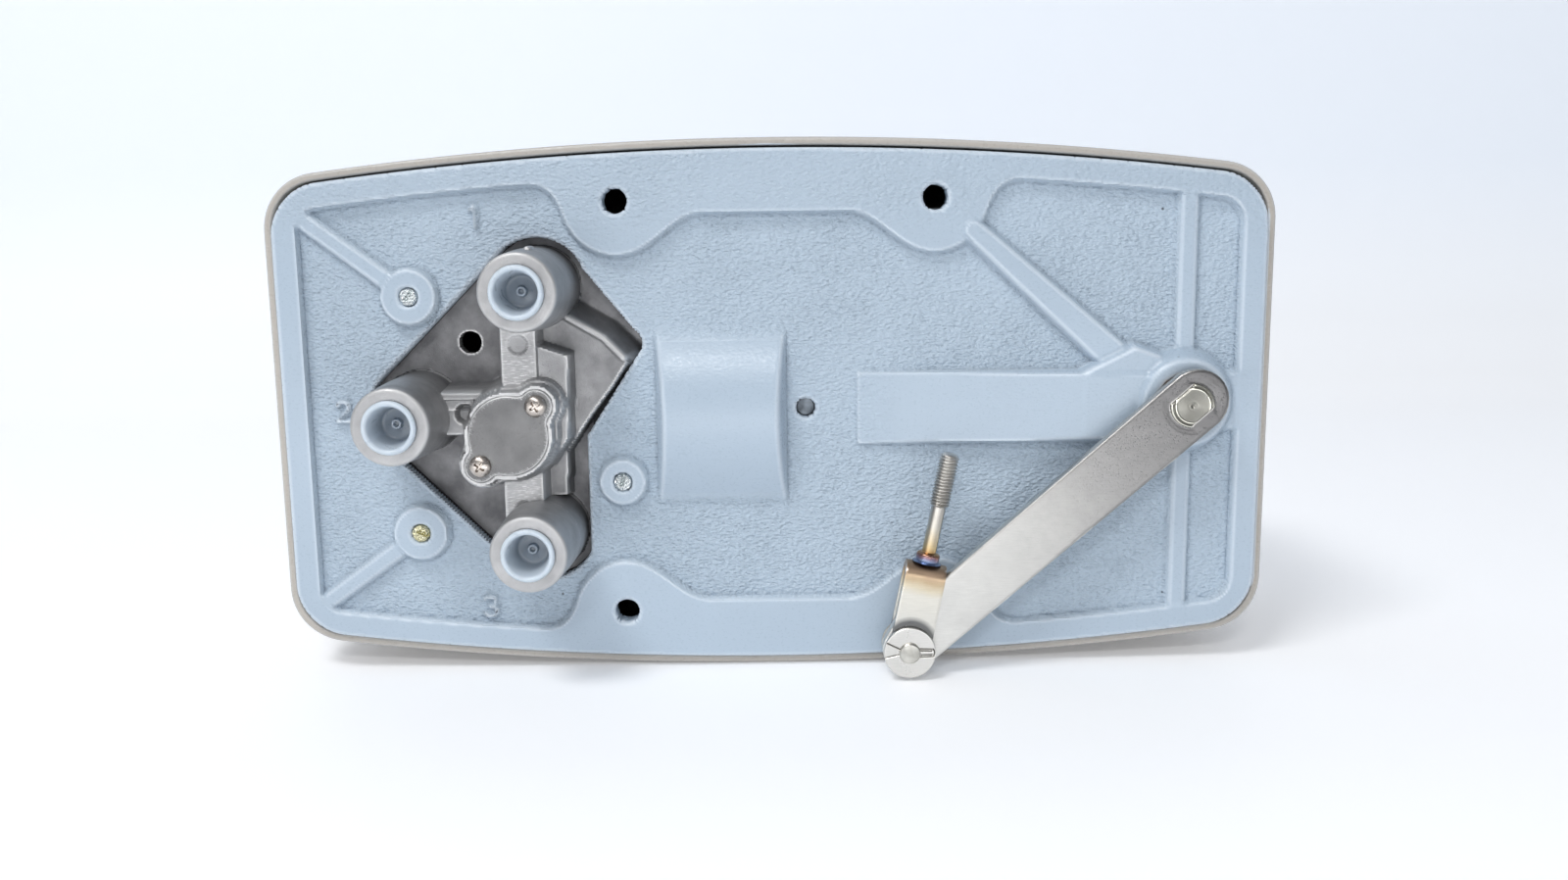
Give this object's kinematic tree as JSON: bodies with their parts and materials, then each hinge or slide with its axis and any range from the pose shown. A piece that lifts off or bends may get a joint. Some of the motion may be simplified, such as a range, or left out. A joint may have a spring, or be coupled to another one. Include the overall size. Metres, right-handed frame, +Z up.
{
  "type": "pneumatic valve positioner",
  "caption": "Pneumatic valve positioner: cast back case with port manifold, deep cover, feedback lever with a swivelling clevis and a force-balance mechanism inside.",
  "frame": {"origin": "centre of the four mounting holes, on the plane of the mounting face", "axes": "+X along the case's long side towards the feedback shaft, +Y from the mounting face into the case and cover, +Z up"},
  "size_m": [0.2836, 0.1295, 0.1514],
  "materials": {
    "blue_grey_paint": "cast aluminium, light blue-grey paint with an orange-peel texture",
    "warm_grey_paint": "warm light grey paint",
    "cast_aluminium": "bare casting",
    "stainless_steel": "satin",
    "nickel_screw": "bright nickel plating",
    "bearing_bronze": "sintered bronze and brass",
    "black_rubber": "moulded rubber",
    "machined_aluminium": "machined",
    "clear_plug": "translucent bluish white polyethylene",
    "brass": "turned"
  },
  "bodies": {
    "housing": {"case": "blue_grey_paint", "cover": "warm_grey_paint", "cover_seal": "black_rubber", "cover_post_1": "machined_aluminium", "cover_post_2": "machined_aluminium", "cover_screw_1": "nickel_screw", "cover_screw_2": "nickel_screw", "manifold": "cast_aluminium", "manifold_gasket": "black_rubber", "manifold_screw_1": "nickel_screw", "manifold_screw_2": "nickel_screw", "manifold_screw_3": "nickel_screw", "filter_cap": "cast_aluminium", "filter_cap_screw_1": "nickel_screw", "filter_cap_screw_2": "nickel_screw", "filter_element": "bearing_bronze", "port_plug_output": "clear_plug", "port_plug_instrument": "clear_plug", "port_plug_supply": "clear_plug", "rear_bush": "bearing_bronze", "front_bush": "bearing_bronze", "mechanism_plate": "machined_aluminium", "plate_screw_1": "nickel_screw", "plate_screw_2": "nickel_screw", "plate_screw_3": "nickel_screw", "plate_screw_4": "nickel_screw", "plate_screw_5": "nickel_screw", "arm_pivot_post": "stainless_steel", "arm_clip": "stainless_steel", "range_spring": "stainless_steel", "beam_post": "stainless_steel", "beam_clip": "stainless_steel", "capsule_bracket": "machined_aluminium", "signal_bellows": "bearing_bronze", "pilot_body": "machined_aluminium", "zero_bracket": "machined_aluminium"},
    "feedback_lever": {"feedback_shaft": "stainless_steel", "lever": "stainless_steel", "shaft_collar": "stainless_steel", "cam": "stainless_steel", "cam_nut": "stainless_steel"},
    "swivel_clevis": {"clevis": "stainless_steel", "clevis_rod": "stainless_steel", "clevis_pin": "stainless_steel", "retaining_ring": "stainless_steel"},
    "follower": {"follower_arm": "stainless_steel", "roller_axle": "stainless_steel", "spring_stud": "stainless_steel"},
    "roller": {"follower_roller": "bearing_bronze"},
    "balance_beam": {"beam": "machined_aluminium"},
    "capsule_push_rod": {"capsule_rod": "stainless_steel"},
    "spool": {"pilot_spool": "stainless_steel"},
    "zero_adjuster": {"zero_screw": "brass"}
  },
  "joints": [
    {"name": "lever_pivot", "type": "hinge", "parent": "housing", "child": "feedback_lever", "pos_m": [0.114, 0, 0.001], "axis": [0, 1, 0], "range_deg": [0, 84]},
    {"name": "clevis_pivot", "type": "hinge", "parent": "feedback_lever", "child": "swivel_clevis", "pos_m": [0.03617, -0.0096, -0.06738], "axis": [0, -1, 0], "range_deg": [0, 286]},
    {"name": "follower_pivot", "type": "hinge", "parent": "housing", "child": "follower", "pos_m": [0.084, 0, 0.042], "axis": [0, 1, 0], "range_deg": [0, 17], "deforming": ["range_spring"]},
    {"name": "roller_pivot", "type": "hinge", "parent": "follower", "child": "roller", "pos_m": [0.08999, 0, 0.00144], "axis": [0, 1, 0], "continuous": true},
    {"name": "beam_pivot", "type": "hinge", "parent": "housing", "child": "balance_beam", "pos_m": [0.01, 0, 0], "axis": [0, 1, 0], "range_deg": [-1.5, 1.5], "stiffness_Nm_per_rad": 0.4, "deforming": ["range_spring", "signal_bellows"]},
    {"name": "spool_slide", "type": "slide", "parent": "housing", "child": "spool", "axis": [0, 0, 1], "range_m": [-0.00194, 0.00194]},
    {"name": "capsule_slide", "type": "slide", "parent": "housing", "child": "capsule_push_rod", "axis": [0, 0, 1], "range_m": [-0.00106, 0.00106], "deforming": ["signal_bellows"]},
    {"name": "zero_pivot", "type": "hinge", "parent": "housing", "child": "zero_adjuster", "pos_m": [0.028, 0.032, 0], "axis": [0, 0, 1], "continuous": true}
  ],
  "couplings": [
    {"joint": "follower_pivot", "follows": "lever_pivot", "ratio": 0.2},
    {"joint": "beam_pivot", "follows": "spool_slide", "rad_per_m": 13.514},
    {"joint": "capsule_slide", "follows": "spool_slide", "ratio": 0.54054}
  ]
}
